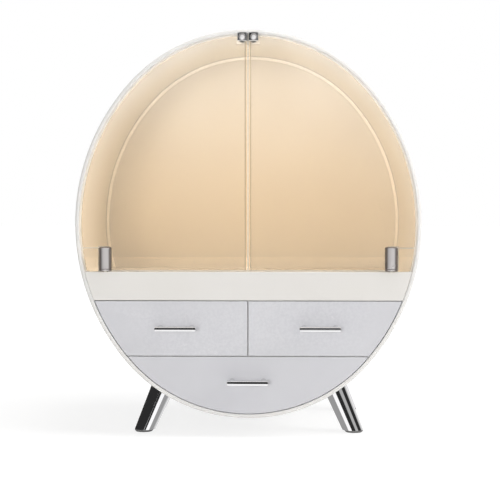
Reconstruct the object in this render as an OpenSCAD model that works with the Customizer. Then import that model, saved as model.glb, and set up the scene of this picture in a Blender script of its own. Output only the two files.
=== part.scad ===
// Oval tabletop cabinet for cosmetics: a deep oval shell on four chrome legs, with two clear swing
// doors over a display deck and three drawers below it. Millimetres, +Z up, front towards -Y.

/* [Body] */
// Width of the oval shell
body_w = 330; // [322:1:340]
// Height of the oval shell
body_h = 370; // [364:1:376]
// Depth of the shell, front rim to back edge
body_d = 200; // [180:1:220]
// Radius of the two flatter side arcs of the oval
side_r = 201; // [199:1:206]
// Wall thickness of the shell, which is also the width of the front rim
wall = 3.8; // [3.4:0.1:4]
// Clear height from the table to the lowest point of the shell
leg_clear = 18.5; // [16:0.5:24]

/* [Heights above the table] */
// Top of the lower drawer front
lower_top = 77.6; // [74:0.1:80]
// Top of the upper drawer fronts
upper_top = 130.9; // [127:0.1:131.5]
// Bottom of the fascia band
band_bottom = 131.5; // [131.2:0.1:132]
// Top of the fascia band
band_top = 158.9; // [158:0.1:160]
// Top of the display deck
deck_top = 153; // [151:0.1:154]

/* [Gaps] */
// Gap between neighbouring fronts and doors
front_gap = 1; // [0.8:0.1:1.2]
// Gap between the rim and a drawer front
drawer_gap = 0.7; // [0.5:0.1:0.9]
// Gap between the rim and a door
door_gap = 1.8; // [1.7:0.1:2]

/* [Doors] */
// Thickness of the door panels
door_t = 3; // [2.5:0.5:3]
// Distance of each hinge axis from the middle plane
hinge_x = 136.5; // [133:0.5:136.5]
// Radius of the hinge sleeve
sleeve_r = 6.2; // [5.8:0.1:6.4]
// Length of the hinge sleeve
sleeve_l = 23; // [20:0.5:24]
// Radius of the hinge pin
pin_r = 1.5; // [1.4:0.1:1.5]

/* [Drawers] */
// Thickness of the drawer fronts
face_t = 3.5; // [3:0.5:4]
// Wall thickness of the drawer trays
tray_wall = 2; // [1.6:0.2:2.2]
// Length of a handle bar
handle_l = 39; // [34:1:44]
// Radius of a handle bar
handle_r = 2.5; // [2.2:0.1:3]
// Reach of the handles in front of the rim
handle_reach = 16; // [15:0.5:18]
// Distance of the upper handles from the middle plane
handle_x = 68.5; // [62:0.5:72]

/* [Legs] */
// Distance of each foot's centre from the middle plane
leg_x = 103.2; // [98:0.1:105]
// Outward tilt of the legs
leg_tilt = 23; // [18:1:24]
// Distance of the legs from the front rim and from the back edge
leg_setback = 35; // [30:1:40]
// Radius of a leg at the table
leg_r_low = 9.3; // [8:0.1:10]
// Radius of a leg where it meets the shell
leg_r_high = 11.3; // [10:0.1:12]

/* [Hidden] */
$fn = 96;
left = -1;
right = 1;

// The four-arc oval: two side arcs and two cap arcs, tangent where they join
half_w = body_w/2;
half_h = body_h/2;
oval_z = leg_clear + half_h;
side_off = side_r - half_w;
cap_r = (side_r*side_r - side_off*side_off - half_h*half_h)/(2*(side_r - half_h));
cap_off = half_h - cap_r;

// Planes along the depth; the box round the whole object is centred on the origin
front_y = handle_reach - (body_d + handle_reach)/2;
back_y = front_y + body_d;
reach = 400;

// Back panel and what fixes it
panel_t = 3;
panel_front = back_y - 5.5;
panel_back = panel_front + panel_t;
fillet_r = 6;
fillet_step = 0.05;
lug_spots = [[146.5, 222], [97, 72]];
lug_half_h = 8;
lug_inner = 9;
cap_radius = 6.5;
cap_depth = 3.2;
cap_recess_r = 3.4;
cap_recess = 2.2;

// Fascia, deck and hinge seats
band_y = front_y + 0.4;
band_t = 3;
band_back = band_y + band_t;
band_gap = 0.3;
flange_t = 3;
flange_back = front_y + 13;
deck_t = 3;
deck_bottom = deck_top - deck_t;
rib_x = [-60, 0, 60];
rib_t = 2;

// Doors: the hinge axis lies just in front of the door's face, so no edge swings towards the rim
pin_y = front_y + 2.5;
door_front = pin_y + 0.2;
door_back = door_front + door_t;
door_inset = wall + door_gap;
door_bottom = band_top + 1.5;
ear_top = band_top + 22.3;
ear_clear = 0.5;
washer_t = 0.5;
washer_r = 5;
sleeve_bottom = band_top + 0.7;
sleeve_top = sleeve_bottom + sleeve_l;
sleeve_chamfer = 0.8;
sleeve_cap_t = 1.6;
fit = 0.05;
tongue_x = 3.4;
pin_top = sleeve_top - sleeve_cap_t - 0.4;
pin_bottom = deck_top + 0.2;
boss_w = 9;
strip_w = 2.5;
strip_t = 0.5;

// Catch at the top of the doors
strike_x = 5.4;
strike_z = oval_z + half_h - 7.2;
strike_low = strike_z - 3.6;
strike_high = strike_z + 4.4;
strike_half_w = 4.4;
stud_z = strike_z - 1.5;
strike_front = front_y - 1.9;
rim_clear = 0.3;
stud_r = 1.6;
stud_head_r = 3.2;
stud_head_t = 1;
button_r = 2.9;
button_rise = 1.2;
magnet_r = 3.2;
magnet_t = 3;
magnet_gap = 0.3;
magnet_front = door_back + stud_head_t + magnet_gap;
housing_half_w = 11;
housing_d = 12;
housing_low = 4.2;

// Drawer bay
face_inset = wall + drawer_gap;
face_front = front_y + 0.7;
face_back = face_front + face_t;
shelf_t = 2;
divider_t = 2;
upper_bottom = lower_top + front_gap;
shelf_top = upper_bottom - 0.5;
shelf_front = face_back + 0.8;
rail_w = 6;
rail_gap = 0.3;
rail_rise = 1.2;
rail_front = front_y + 12;
rail_back = back_y - 18;
upper_rail_x = [14, 96];
lower_rail_x = 27;
tray_inset = wall + 2.2;
tray_back = panel_front - 5.5;
upper_tray_bottom = shelf_top + rail_rise + rail_gap;
upper_tray_top = upper_top - 4;
lower_tray_bottom = 32;
lower_tray_top = lower_top - 4;
bumper_r = 4;
bumper_spots = [[-60, 100], [60, 100], [-45, 52], [45, 52]];

// Handles
upper_handle_z = 105.4;
lower_handle_z = 54.3;
bar_y = front_y - handle_reach + handle_r;
post_x = 15;
post_r = 2.4;
screw_r = 1.4;
screw_depth = 8;
screw_head_r = 2.8;
screw_head_t = 1.6;

// Legs
pad_t = 2.2;
pad_r = leg_r_low - 0.3;
pad_bevel = 1.1;
rear_leg_x = leg_x + 1;
leg_l = 58;
leg_front_y = front_y + leg_setback;
leg_rear_y = back_y - leg_setback;
leg_screw_a = 34;
leg_screw_r = 2;
leg_screw_l = 16;
leg_screw_head_r = 4;
leg_screw_head_t = 1.5;
leg_screw_rest = 0.1;

shell_colour = [0.96, 0.95, 0.93];
face_colour = [0.82, 0.82, 0.86];
amber = [0.93, 0.80, 0.62, 0.45];
chrome = [0.72, 0.72, 0.74];
steel = [0.55, 0.55, 0.57];
rubber = [0.15, 0.15, 0.15];
clear_strip = [0.90, 0.86, 0.78, 0.7];

// ---- The oval and its helpers ----

// A wedge about +X, bounded by the direction [along, across] and its mirror image
module wedge(along, across) {
  polygon(10*[[0, 0], [along, -across], [along, across]]);
}

module pie(r, along, across) {
  intersection() {
    circle(r);
    wedge(along, across);
  }
}

// The filled oval, drawn in by inset all round
module oval(inset) {
  for (turn = [0, 180]) rotate(turn) {
    translate([-side_off, 0]) pie(side_r - inset, side_off, cap_off);
    rotate(90) translate([cap_off, 0]) pie(cap_r - inset, cap_off, side_off);
  }
}

module pie_sweep(r, along, across) {
  intersection() {
    rotate_extrude() translate([r, 0]) children();
    translate([0, 0, -reach]) linear_extrude(2*reach) wedge(along, across);
  }
}

// Sweeps a profile round the oval: its x is the distance outside the outline, its y points forward
module oval_sweep() {
  translate([0, 0, oval_z]) rotate([90, 0, 0]) for (turn = [0, 180]) rotate(turn) {
    translate([-side_off, 0, 0]) pie_sweep(side_r, side_off, cap_off) children();
    rotate(90) translate([cap_off, 0, 0]) pie_sweep(cap_r, cap_off, side_off) children();
  }
}

// Extrudes an upright outline, drawn in x and height about the oval's centre, from y0 back to y1
module slab(y0, y1) {
  translate([0, 0, oval_z]) rotate([90, 0, 0]) translate([0, 0, -y1])
    linear_extrude(y1 - y0) children();
}

// A slice of the oval block: depth from y0 back to y1, cut to the widths and heights given
module oval_block(inset, y0, y1, x0, x1, z0, z1) {
  intersection() {
    slab(y0, y1) oval(inset);
    translate([x0, y0 - 1, z0]) cube([x1 - x0, y1 - y0 + 2, z1 - z0]);
  }
}

// What lies outside a quarter circle, for rounding a square corner
module corner(r) {
  difference() {
    square(r + 1);
    circle(r);
  }
}

// A cylinder along the depth, from y0 back to y1
module rod_y(r, x, z, y0, y1) {
  translate([x, y1, z]) rotate([90, 0, 0]) cylinder(r = r, h = y1 - y0);
}

// Mirrors a right-hand shape when it is wanted on the left
module on_side(side) {
  if (side == left) mirror([1, 0, 0]) children();
  else children();
}

module both_sides() {
  for (side = [left, right]) on_side(side) children();
}

// ---- Shell and back ----

module body_shell() {
  round_front = 2.2;
  round_inner = 0.8;
  round_back = 3.4;
  color(shell_colour) difference() {
    union() {
      oval_sweep() difference() {
        translate([-wall, -back_y]) square([wall, body_d]);
        translate([-round_front, -front_y - round_front]) corner(round_front);
        translate([round_inner - wall, -front_y - round_inner]) rotate(90) corner(round_inner);
        translate([-round_back, round_back - back_y]) rotate(-90) corner(round_back);
      }
      both_sides() for (spot = lug_spots)
        oval_block(wall - 0.6, panel_back, back_y - 0.2, spot.x - lug_inner, reach,
          spot.y - lug_half_h, spot.y + lug_half_h);
    }
    for (side = [left, right], spot = lug_spots)
      rod_y(screw_r, side*spot.x, spot.y, panel_back - 1, back_y + 1);
    leg_screw_spots() cylinder(r = leg_screw_r + 0.15, h = leg_screw_l, center = true);
  }
}

module fillet_ring() {
  oval_sweep() difference() {
    translate([-wall - fillet_r, -panel_front - 1]) square([fillet_r, fillet_r + 1]);
    translate([-wall - fillet_r, fillet_r + fillet_step - panel_front]) circle(fillet_r);
  }
}

module back_panel() {
  color(shell_colour) difference() {
    union() {
      slab(panel_front, panel_back) oval(wall);
      intersection() {
        fillet_ring();
        translate([-reach/2, 0, deck_top]) cube([reach, reach, reach]);
      }
    }
    for (side = [left, right], spot = lug_spots)
      rod_y(screw_r + 0.2, side*spot.x, spot.y, panel_front - 1, panel_back + 1);
  }
}

module back_panel_screws() {
  color(steel) for (side = [left, right], spot = lug_spots) {
    rod_y(screw_r, side*spot.x, spot.y, panel_front - 0.5, back_y - 0.6);
    rod_y(screw_head_r, side*spot.x, spot.y, panel_front - screw_head_t, panel_front);
  }
}

module back_screw_caps() {
  spot = lug_spots[0];
  color(shell_colour) for (side = [left, right]) difference() {
    rod_y(cap_radius, side*spot.x, spot.y, panel_front - cap_depth, panel_front);
    rod_y(cap_recess_r, side*spot.x, spot.y, panel_front - cap_recess, panel_front + 1);
  }
}

// ---- Deck, fascia and drawer bay ----

module display_deck() {
  color(shell_colour)
    oval_block(wall, band_back, panel_front, -reach, reach, deck_bottom, deck_top);
}

module fascia_band() {
  color(shell_colour) difference() {
    union() {
      oval_block(wall + band_gap, band_y, band_back, -reach, reach, band_bottom, band_top);
      oval_block(wall + band_gap, band_back - 0.5, flange_back, -reach, reach, band_top - flange_t,
        band_top);
      for (side = [left, right])
        translate([side*hinge_x - boss_w/2, band_back - 0.5, deck_top])
          cube([boss_w, pin_y + boss_w/2 - band_back + 0.5, band_top - deck_top - 0.5]);
      for (x = rib_x)
        translate([x - rib_t/2, band_back - 0.5, deck_top])
          cube([rib_t, flange_back - band_back - 1, band_top - deck_top - 0.5]);
    }
    for (side = [left, right])
      translate([side*hinge_x, pin_y, pin_bottom]) cylinder(r = pin_r, h = band_top);
  }
}

module middle_shelf() {
  color(shell_colour)
    oval_block(wall, shelf_front, panel_front, -reach, reach, shelf_top - shelf_t, shelf_top);
}

module centre_divider() {
  color(shell_colour) translate([-divider_t/2, shelf_front, shelf_top])
    cube([divider_t, panel_front - shelf_front, deck_bottom - shelf_top]);
}

module upper_drawer_rails() {
  color(shell_colour) for (side = [left, right], x = upper_rail_x)
    translate([side*x - rail_w/2, rail_front, shelf_top])
      cube([rail_w, rail_back - rail_front, rail_rise]);
}

module lower_drawer_rails() {
  color(shell_colour) both_sides()
    oval_block(wall, rail_front, rail_back, lower_rail_x - rail_w/2, lower_rail_x + rail_w/2, 0,
      lower_tray_bottom - rail_gap);
}

module drawer_bumpers() {
  color(rubber) for (spot = bumper_spots)
    rod_y(bumper_r, spot.x, spot.y, tray_back + 0.3, panel_front);
}

// ---- Hinges and catch fixed to the body ----

module corner_ear(side) {
  ear_x = hinge_x + sleeve_r + ear_clear;
  color(amber) on_side(side)
    oval_block(door_inset, door_front, door_back, ear_x, reach, band_top, ear_top);
}

module left_corner_ear() {
  corner_ear(left);
}

module right_corner_ear() {
  corner_ear(right);
}

module hinge_pin(side) {
  color(steel) translate([side*hinge_x, pin_y, pin_bottom])
    cylinder(r = pin_r, h = pin_top - pin_bottom);
}

module left_hinge_pin() {
  hinge_pin(left);
}

module right_hinge_pin() {
  hinge_pin(right);
}

module hinge_washers() {
  color(clear_strip) for (side = [left, right]) translate([side*hinge_x, pin_y, band_top])
    difference() {
      cylinder(r = washer_r, h = washer_t);
      translate([0, 0, -1]) cylinder(r = pin_r + 0.1, h = washer_t + 2);
    }
}

module magnet_housing() {
  color(shell_colour) difference() {
    oval_block(wall, magnet_front, magnet_front + housing_d, -housing_half_w, housing_half_w,
      stud_z - housing_low, oval_z + half_h);
    for (side = [left, right])
      rod_y(magnet_r + fit, side*strike_x, stud_z, magnet_front - 1, magnet_front + magnet_t);
  }
}

module catch_magnets() {
  color(steel) for (side = [left, right])
    rod_y(magnet_r, side*strike_x, stud_z, magnet_front, magnet_front + magnet_t);
}

// ---- Legs ----

// Places a shape on a leg's tilted axis, its origin at the middle of the foot
module leg_place(x, y) {
  translate([x, y, 0]) rotate([0, x < 0 ? leg_tilt : -leg_tilt, 0]) children();
}

// The axis of each leg screw, square to the shell where the leg meets it
module leg_screw_spots() {
  for (side = [left, right], y = [leg_front_y, leg_rear_y])
    translate([0, y, oval_z - cap_off]) rotate([0, side*(180 - leg_screw_a), 0])
      translate([0, 0, cap_r - wall]) children();
}

module leg(x, y) {
  color(chrome) difference() {
    leg_place(x, y) translate([0, 0, -6])
      cylinder(r1 = leg_r_low - 0.2, r2 = leg_r_high, h = leg_l + 6);
    translate([-reach/2, -reach/2, pad_t - reach]) cube([reach, reach, reach]);
    slab(y - 30, y + 30) oval(0);
    leg_screw_spots() cylinder(r = leg_screw_r + 0.02, h = leg_screw_l - 2);
  }
}

module front_left_leg() {
  leg(left*leg_x, leg_front_y);
}

module front_right_leg() {
  leg(right*leg_x, leg_front_y);
}

module rear_left_leg() {
  leg(left*rear_leg_x, leg_rear_y);
}

module rear_right_leg() {
  leg(right*rear_leg_x, leg_rear_y);
}

module leg_screws() {
  color(steel) leg_screw_spots() {
    translate([0, 0, -leg_screw_rest - leg_screw_head_t])
      cylinder(r = leg_screw_head_r, h = leg_screw_head_t);
    translate([0, 0, -1]) cylinder(r = leg_screw_r, h = leg_screw_l - 1);
  }
}

module foot_pads() {
  color(rubber) for (side = [left, right], spot = [[leg_x, leg_front_y], [rear_leg_x, leg_rear_y]])
    translate([side*spot.x, spot.y, 0]) {
      cylinder(r1 = pad_r - pad_bevel, r2 = pad_r, h = pad_bevel);
      translate([0, 0, pad_bevel]) cylinder(r = pad_r, h = pad_t - pad_bevel);
    }
}

// ---- Doors ----

module door_panel(side) {
  ear_x = hinge_x + sleeve_r + ear_clear;
  color(amber) on_side(side) difference() {
    oval_block(door_inset, door_front, door_back, front_gap/2, reach, door_bottom, reach);
    translate([hinge_x - tongue_x, door_front - 1, 0])
      cube([ear_x - 0.2 - hinge_x + tongue_x, door_t + 2, sleeve_top + 0.4]);
    translate([hinge_x, door_front - 1, 0]) cube([reach, door_t + 2, ear_top + 0.7]);
    rod_y(stud_r, strike_x, stud_z, door_front - 1, door_back + 1);
  }
}

module left_door_panel() {
  door_panel(left);
}

module right_door_panel() {
  door_panel(right);
}

module hinge_sleeve(side) {
  color(chrome) on_side(side) translate([hinge_x, pin_y, sleeve_bottom]) difference() {
    union() {
      cylinder(r = sleeve_r, h = sleeve_l - sleeve_chamfer);
      translate([0, 0, sleeve_l - sleeve_chamfer])
        cylinder(r1 = sleeve_r, r2 = sleeve_r - sleeve_chamfer, h = sleeve_chamfer);
    }
    translate([0, 0, -1]) cylinder(r = pin_r + fit, h = sleeve_l - sleeve_cap_t + 1);
    translate([-tongue_x - 2*sleeve_r, door_front - pin_y, -1])
      cube([2*sleeve_r, door_t, sleeve_l + 2]);
  }
}

module left_hinge_sleeve() {
  hinge_sleeve(left);
}

module right_hinge_sleeve() {
  hinge_sleeve(right);
}

module edge_strip(side) {
  color(clear_strip) on_side(side) translate([front_gap/2, door_front - strip_t, door_bottom])
    cube([strip_w, strip_t, strike_low - 0.3 - door_bottom]);
}

module left_edge_strip() {
  edge_strip(left);
}

module right_edge_strip() {
  edge_strip(right);
}

module strike_plate(side) {
  x0 = strike_x - strike_half_w;
  dome_r = (button_r*button_r + button_rise*button_rise)/(2*button_rise);
  door_top = oval_z + half_h - door_inset;
  color(chrome) on_side(side) difference() {
    union() {
      translate([x0, strike_front, strike_low])
        cube([2*strike_half_w, front_y - rim_clear - strike_front, strike_high - strike_low]);
      translate([x0, front_y - rim_clear - 0.1, strike_low])
        cube([2*strike_half_w, door_front - front_y + rim_clear + 0.1, door_top - strike_low - 0.5]);
      intersection() {
        translate([strike_x, strike_front + dome_r - button_rise, strike_z]) sphere(dome_r);
        rod_y(button_r + 1, strike_x, strike_z, strike_front - 3, strike_front + 0.1);
      }
    }
    rod_y(stud_r, strike_x, stud_z, strike_front + 1, door_front + 1);
  }
}

module left_strike_plate() {
  strike_plate(left);
}

module right_strike_plate() {
  strike_plate(right);
}

module strike_stud(side) {
  color(steel) {
    rod_y(stud_r, side*strike_x, stud_z, strike_front + 1, door_back + 0.2);
    rod_y(stud_head_r, side*strike_x, stud_z, door_back, door_back + stud_head_t);
  }
}

module left_strike_stud() {
  strike_stud(left);
}

module right_strike_stud() {
  strike_stud(right);
}

// ---- Drawers ----

module drawer_front(x0, x1, z0, z1, handle_at, handle_z) {
  color(face_colour) difference() {
    oval_block(face_inset, face_front, face_back, x0, x1, z0, z1);
    for (side = [left, right])
      rod_y(screw_r + 0.2, handle_at + side*post_x, handle_z, face_front - 1, face_back + 1);
  }
}

module drawer_tray(x0, x1, z0, z1, handle_at, handle_z) {
  color(shell_colour) difference() {
    oval_block(tray_inset, face_back, tray_back, x0, x1, z0, z1);
    oval_block(tray_inset + tray_wall, face_back + tray_wall, tray_back - tray_wall, x0 + tray_wall,
      x1 - tray_wall, z0 + tray_wall, z1 + 1);
    for (side = [left, right])
      rod_y(screw_r + 0.2, handle_at + side*post_x, handle_z, face_back - 1,
        face_back + tray_wall + 1);
  }
}

module drawer_handle(handle_at, handle_z) {
  color(chrome) difference() {
    union() {
      translate([handle_at - handle_l/2, bar_y, handle_z]) rotate([0, 90, 0])
        cylinder(r = handle_r, h = handle_l);
      for (side = [left, right])
        rod_y(post_r, handle_at + side*post_x, handle_z, bar_y + 0.5, face_front);
    }
    for (side = [left, right])
      rod_y(screw_r, handle_at + side*post_x, handle_z, face_front - screw_depth, face_front + 1);
  }
}

module handle_screws(handle_at, handle_z) {
  head_y = face_back + tray_wall;
  color(steel) for (side = [left, right]) {
    rod_y(screw_r, handle_at + side*post_x, handle_z, face_front - screw_depth, head_y + 0.5);
    rod_y(screw_head_r, handle_at + side*post_x, handle_z, head_y, head_y + screw_head_t);
  }
}

module upper_left_drawer_front() {
  drawer_front(-reach, -front_gap/2, upper_bottom, upper_top, -handle_x, upper_handle_z);
}

module upper_left_drawer_tray() {
  drawer_tray(-reach, -2.2, upper_tray_bottom, upper_tray_top, -handle_x, upper_handle_z);
}

module upper_left_drawer_handle() {
  drawer_handle(-handle_x, upper_handle_z);
}

module upper_left_handle_screws() {
  handle_screws(-handle_x, upper_handle_z);
}

module upper_right_drawer_front() {
  drawer_front(front_gap/2, reach, upper_bottom, upper_top, handle_x, upper_handle_z);
}

module upper_right_drawer_tray() {
  drawer_tray(2.2, reach, upper_tray_bottom, upper_tray_top, handle_x, upper_handle_z);
}

module upper_right_drawer_handle() {
  drawer_handle(handle_x, upper_handle_z);
}

module upper_right_handle_screws() {
  handle_screws(handle_x, upper_handle_z);
}

module lower_drawer_front() {
  drawer_front(-reach, reach, 0, lower_top, 0, lower_handle_z);
}

module lower_drawer_tray() {
  drawer_tray(-reach, reach, lower_tray_bottom, lower_tray_top, 0, lower_handle_z);
}

module lower_drawer_handle() {
  drawer_handle(0, lower_handle_z);
}

module lower_handle_screws() {
  handle_screws(0, lower_handle_z);
}

body_shell();
back_panel();
back_panel_screws();
back_screw_caps();
display_deck();
fascia_band();
middle_shelf();
centre_divider();
upper_drawer_rails();
lower_drawer_rails();
drawer_bumpers();
left_corner_ear();
right_corner_ear();
left_hinge_pin();
right_hinge_pin();
hinge_washers();
magnet_housing();
catch_magnets();
front_left_leg();
front_right_leg();
rear_left_leg();
rear_right_leg();
leg_screws();
foot_pads();
left_door_panel();
left_hinge_sleeve();
left_edge_strip();
left_strike_plate();
left_strike_stud();
right_door_panel();
right_hinge_sleeve();
right_edge_strip();
right_strike_plate();
right_strike_stud();
upper_left_drawer_front();
upper_left_drawer_tray();
upper_left_drawer_handle();
upper_left_handle_screws();
upper_right_drawer_front();
upper_right_drawer_tray();
upper_right_drawer_handle();
upper_right_handle_screws();
lower_drawer_front();
lower_drawer_tray();
lower_drawer_handle();
lower_handle_screws();
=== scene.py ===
import math

import bpy
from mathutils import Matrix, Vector


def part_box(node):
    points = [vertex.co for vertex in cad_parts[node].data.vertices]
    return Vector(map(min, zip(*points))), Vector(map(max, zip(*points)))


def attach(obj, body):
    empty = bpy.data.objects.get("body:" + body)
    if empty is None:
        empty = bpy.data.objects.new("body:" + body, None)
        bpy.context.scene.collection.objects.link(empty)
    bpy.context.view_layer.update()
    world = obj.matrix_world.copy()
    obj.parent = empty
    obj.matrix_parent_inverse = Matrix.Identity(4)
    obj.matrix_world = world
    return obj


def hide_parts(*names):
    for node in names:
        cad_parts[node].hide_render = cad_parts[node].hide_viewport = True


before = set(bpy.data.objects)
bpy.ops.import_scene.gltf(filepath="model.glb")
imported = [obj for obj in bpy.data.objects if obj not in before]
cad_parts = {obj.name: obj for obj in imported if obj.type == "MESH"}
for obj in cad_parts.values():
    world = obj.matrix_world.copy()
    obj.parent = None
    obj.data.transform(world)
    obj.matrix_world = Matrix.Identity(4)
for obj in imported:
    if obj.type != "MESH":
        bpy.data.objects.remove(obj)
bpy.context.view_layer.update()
print("frame loaded:", len(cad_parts), "nodes")

# the cabinet's outline is four arcs, two flat ones at the sides and two tighter ones at top and bottom
oval = {
    "sideRadius": 0.201,
    "sideOffset": 0.036,
    "capOffset": 0.0325,
    "centreZ": 0.2035,
    "sideSteps": 46,
    "capSteps": 50,
}
oval["meeting"] = math.atan2(oval["capOffset"], oval["sideOffset"])  # the angle at which two arcs meet
far = 1.0  # further out than any edge of the cabinet
touching = 0.0001  # closer than this counts as being at the same place
shellLow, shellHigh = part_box("body_shell")

# what the modelling helpers share: angles in degrees, the rest in metres
modelling = {
    "bevelAngle": 30,
    "smoothAngle": 50,
    "turnedSmoothAngle": 38,
    "mergeAngle": 0.2,
    "flatNormal": 0.99999,
    "seedSize": 0.002,
    "weld": 0.00002,
    "turnedWeld": 0.000004,
    "cutThreshold": 0.000001,
    "cornerReach": 0.0006,
    "cornerSegments": 8,
}


# modelling helpers
def objectMode():
    bpy.ops.object.mode_set(mode="OBJECT")


def selectAll():
    bpy.ops.mesh.select_all(action="SELECT")


def deselectAll():
    if bpy.context.object and bpy.context.object.mode != "OBJECT":
        objectMode()
    bpy.ops.object.select_all(action="DESELECT")


def activate(piece):
    deselectAll()
    piece.select_set(True)
    bpy.context.view_layer.objects.active = piece


def rename(piece, name):
    piece.name = name
    piece.data.name = name
    return piece


def applyPlace():
    bpy.ops.object.transform_apply(location=True, rotation=True, scale=True)


def startPiece(name):
    piece = rename(bpy.context.object, name)
    applyPlace()
    return piece


def editMode(kind="VERT"):
    bpy.ops.object.mode_set(mode="EDIT")
    bpy.ops.mesh.select_mode(type=kind)
    selectAll()


def pick(piece, kind, test):
    # selects the vertices, edges or faces whose middle passes the test, and stays in edit mode
    editMode(kind)
    bpy.ops.mesh.select_all(action="DESELECT")
    objectMode()
    mesh = piece.data
    if kind == "VERT":
        for vertex in mesh.vertices:
            vertex.select = test(vertex.co)
    elif kind == "EDGE":
        for edge in mesh.edges:
            ends = [mesh.vertices[i].co for i in edge.vertices]
            edge.select = test((ends[0] + ends[1]) / 2, ends[1] - ends[0])
    else:
        for face in mesh.polygons:
            face.select = test(face.center, face.normal)
    bpy.ops.object.mode_set(mode="EDIT")


def faceOutward():
    bpy.ops.mesh.normals_make_consistent(inside=False)
    objectMode()


def weld(distance):
    selectAll()
    bpy.ops.mesh.remove_doubles(threshold=distance)
    faceOutward()


def smoothBelow(angle):
    bpy.ops.object.shade_smooth_by_angle(angle=math.radians(angle))


def addModifier(piece, kind, **values):
    activate(piece)
    bpy.ops.object.modifier_add(type=kind)
    modifier = piece.modifiers[-1]
    for key, value in values.items():
        setattr(modifier, key, value)
    bpy.ops.object.modifier_apply(modifier=modifier.name)


def softenEdges(piece, width, segments=3, angle=modelling["bevelAngle"]):
    addModifier(piece, "BEVEL", width=width, segments=segments, limit_method="ANGLE",
                angle_limit=math.radians(angle), use_clamp_overlap=True)
    activate(piece)
    smoothBelow(modelling["smoothAngle"])
    pick(piece, "FACE", lambda c, n: max(abs(n.x), abs(n.y), abs(n.z)) > modelling["flatNormal"])
    bpy.ops.mesh.faces_shade_flat()
    objectMode()


def joinPieces(pieces, name):
    deselectAll()
    for piece in pieces:
        piece.select_set(True)
    bpy.context.view_layer.objects.active = pieces[0]
    bpy.ops.object.join()
    return rename(bpy.context.object, name)


def copyPiece(piece, name, move=(0, 0, 0), mirrorX=False):
    activate(piece)
    bpy.ops.object.duplicate()
    twin = rename(bpy.context.object, name)
    twin.location = move
    if mirrorX:
        twin.scale = (-1, 1, 1)
    applyPlace()
    if mirrorX:
        editMode()
        faceOutward()
    return twin


def spinRound():
    # carries what is selected round the four arcs of the outline
    sideAngle = 2 * oval["meeting"]
    capAngle = math.pi - sideAngle
    z = oval["centreZ"]
    arcs = (
        ((-oval["sideOffset"], 0, z), sideAngle, oval["sideSteps"]),
        ((0, 0, z + oval["capOffset"]), capAngle, oval["capSteps"]),
        ((oval["sideOffset"], 0, z), sideAngle, oval["sideSteps"]),
        ((0, 0, z - oval["capOffset"]), capAngle, oval["capSteps"]),
    )
    for centre, angle, steps in arcs:
        bpy.ops.mesh.spin(steps=steps, angle=angle, center=centre, axis=(0, 1, 0))


def meetingPoint(inset, y=0):
    # where two arcs of the outline meet, this far inside it
    reach = oval["sideRadius"] - inset
    return (reach * math.cos(oval["meeting"]) - oval["sideOffset"], y,
            oval["centreZ"] - reach * math.sin(oval["meeting"]))


def ovalFace(name, inset, y):
    # a single vertex spun into the outline, then filled
    deselectAll()
    bpy.ops.mesh.primitive_plane_add(size=modelling["seedSize"], location=meetingPoint(inset, y))
    piece = startPiece(name)
    editMode()
    bpy.ops.mesh.merge(type="CENTER")
    spinRound()
    selectAll()
    bpy.ops.mesh.remove_doubles(threshold=modelling["weld"])
    bpy.ops.mesh.edge_face_add()
    objectMode()
    return piece


def cutAt(axis, place, clearBelow=False, clearAbove=False):
    editMode("FACE")
    point = [0, 0, 0]
    point[axis] = place
    normal = [0, 0, 0]
    normal[axis] = 1
    bpy.ops.mesh.bisect(plane_co=point, plane_no=normal, use_fill=False, clear_inner=clearBelow,
                        clear_outer=clearAbove, threshold=modelling["cutThreshold"])
    objectMode()


def ovalPlate(name, inset, front, back, sides=(-far, far), heights=(-far, far), notches=(),
              rounded=()):
    # an upright plate with the cabinet's outline, cut straight where sides and heights say
    piece = ovalFace(name, inset, front)
    for axis, (low, high) in ((0, sides), (2, heights)):
        if low > -far:
            cutAt(axis, low, clearBelow=True)
        if high < far:
            cutAt(axis, high, clearAbove=True)
    for x0, x1, z0, z1 in notches:
        for axis, place in ((0, x0), (0, x1), (2, z0), (2, z1)):
            if abs(place) < far:
                cutAt(axis, place)
        pick(piece, "FACE", lambda c, n: x0 < c.x < x1 and z0 < c.z < z1)
        bpy.ops.mesh.delete(type="FACE")
        objectMode()
    if notches:
        editMode()
        bpy.ops.mesh.dissolve_limited(angle_limit=math.radians(modelling["mergeAngle"]))
        objectMode()
    reach = modelling["cornerReach"]
    for x, z, radius in rounded:
        pick(piece, "VERT", lambda c: abs(c.x - x) < reach and abs(c.z - z) < reach)
        bpy.ops.mesh.bevel(offset=radius, segments=modelling["cornerSegments"], affect="VERTICES")
        objectMode()
    editMode("FACE")
    bpy.ops.mesh.extrude_region_move(TRANSFORM_OT_translate={"value": (0, back - front, 0)})
    selectAll()
    faceOutward()
    return piece


def block(name, low, high):
    deselectAll()
    middle = [(a + b) / 2 for a, b in zip(low, high)]
    bpy.ops.mesh.primitive_cube_add(size=1, location=middle)
    bpy.context.object.scale = [b - a for a, b in zip(low, high)]
    return startPiece(name)


def turned(name, profile, place, steps, alongY=False):
    # a turned part: the profile is (radius, height) pairs from bottom to top, spun about an upright axis
    deselectAll()
    bpy.ops.mesh.primitive_plane_add(size=modelling["seedSize"], location=(profile[0][0], 0, profile[0][1]))
    piece = startPiece(name)
    editMode()
    bpy.ops.mesh.merge(type="CENTER")
    for start, end in zip(profile, profile[1:]):
        bpy.ops.mesh.extrude_region_move(
            TRANSFORM_OT_translate={"value": (end[0] - start[0], 0, end[1] - start[1])})
    selectAll()
    bpy.ops.mesh.spin(steps=steps, angle=math.tau, center=(0, 0, 0), axis=(0, 0, 1))
    weld(modelling["turnedWeld"])
    if alongY:
        piece.rotation_euler = (math.pi / 2, 0, 0)
    piece.location = place
    applyPlace()
    smoothBelow(modelling["turnedSmoothAngle"])
    return piece


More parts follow.
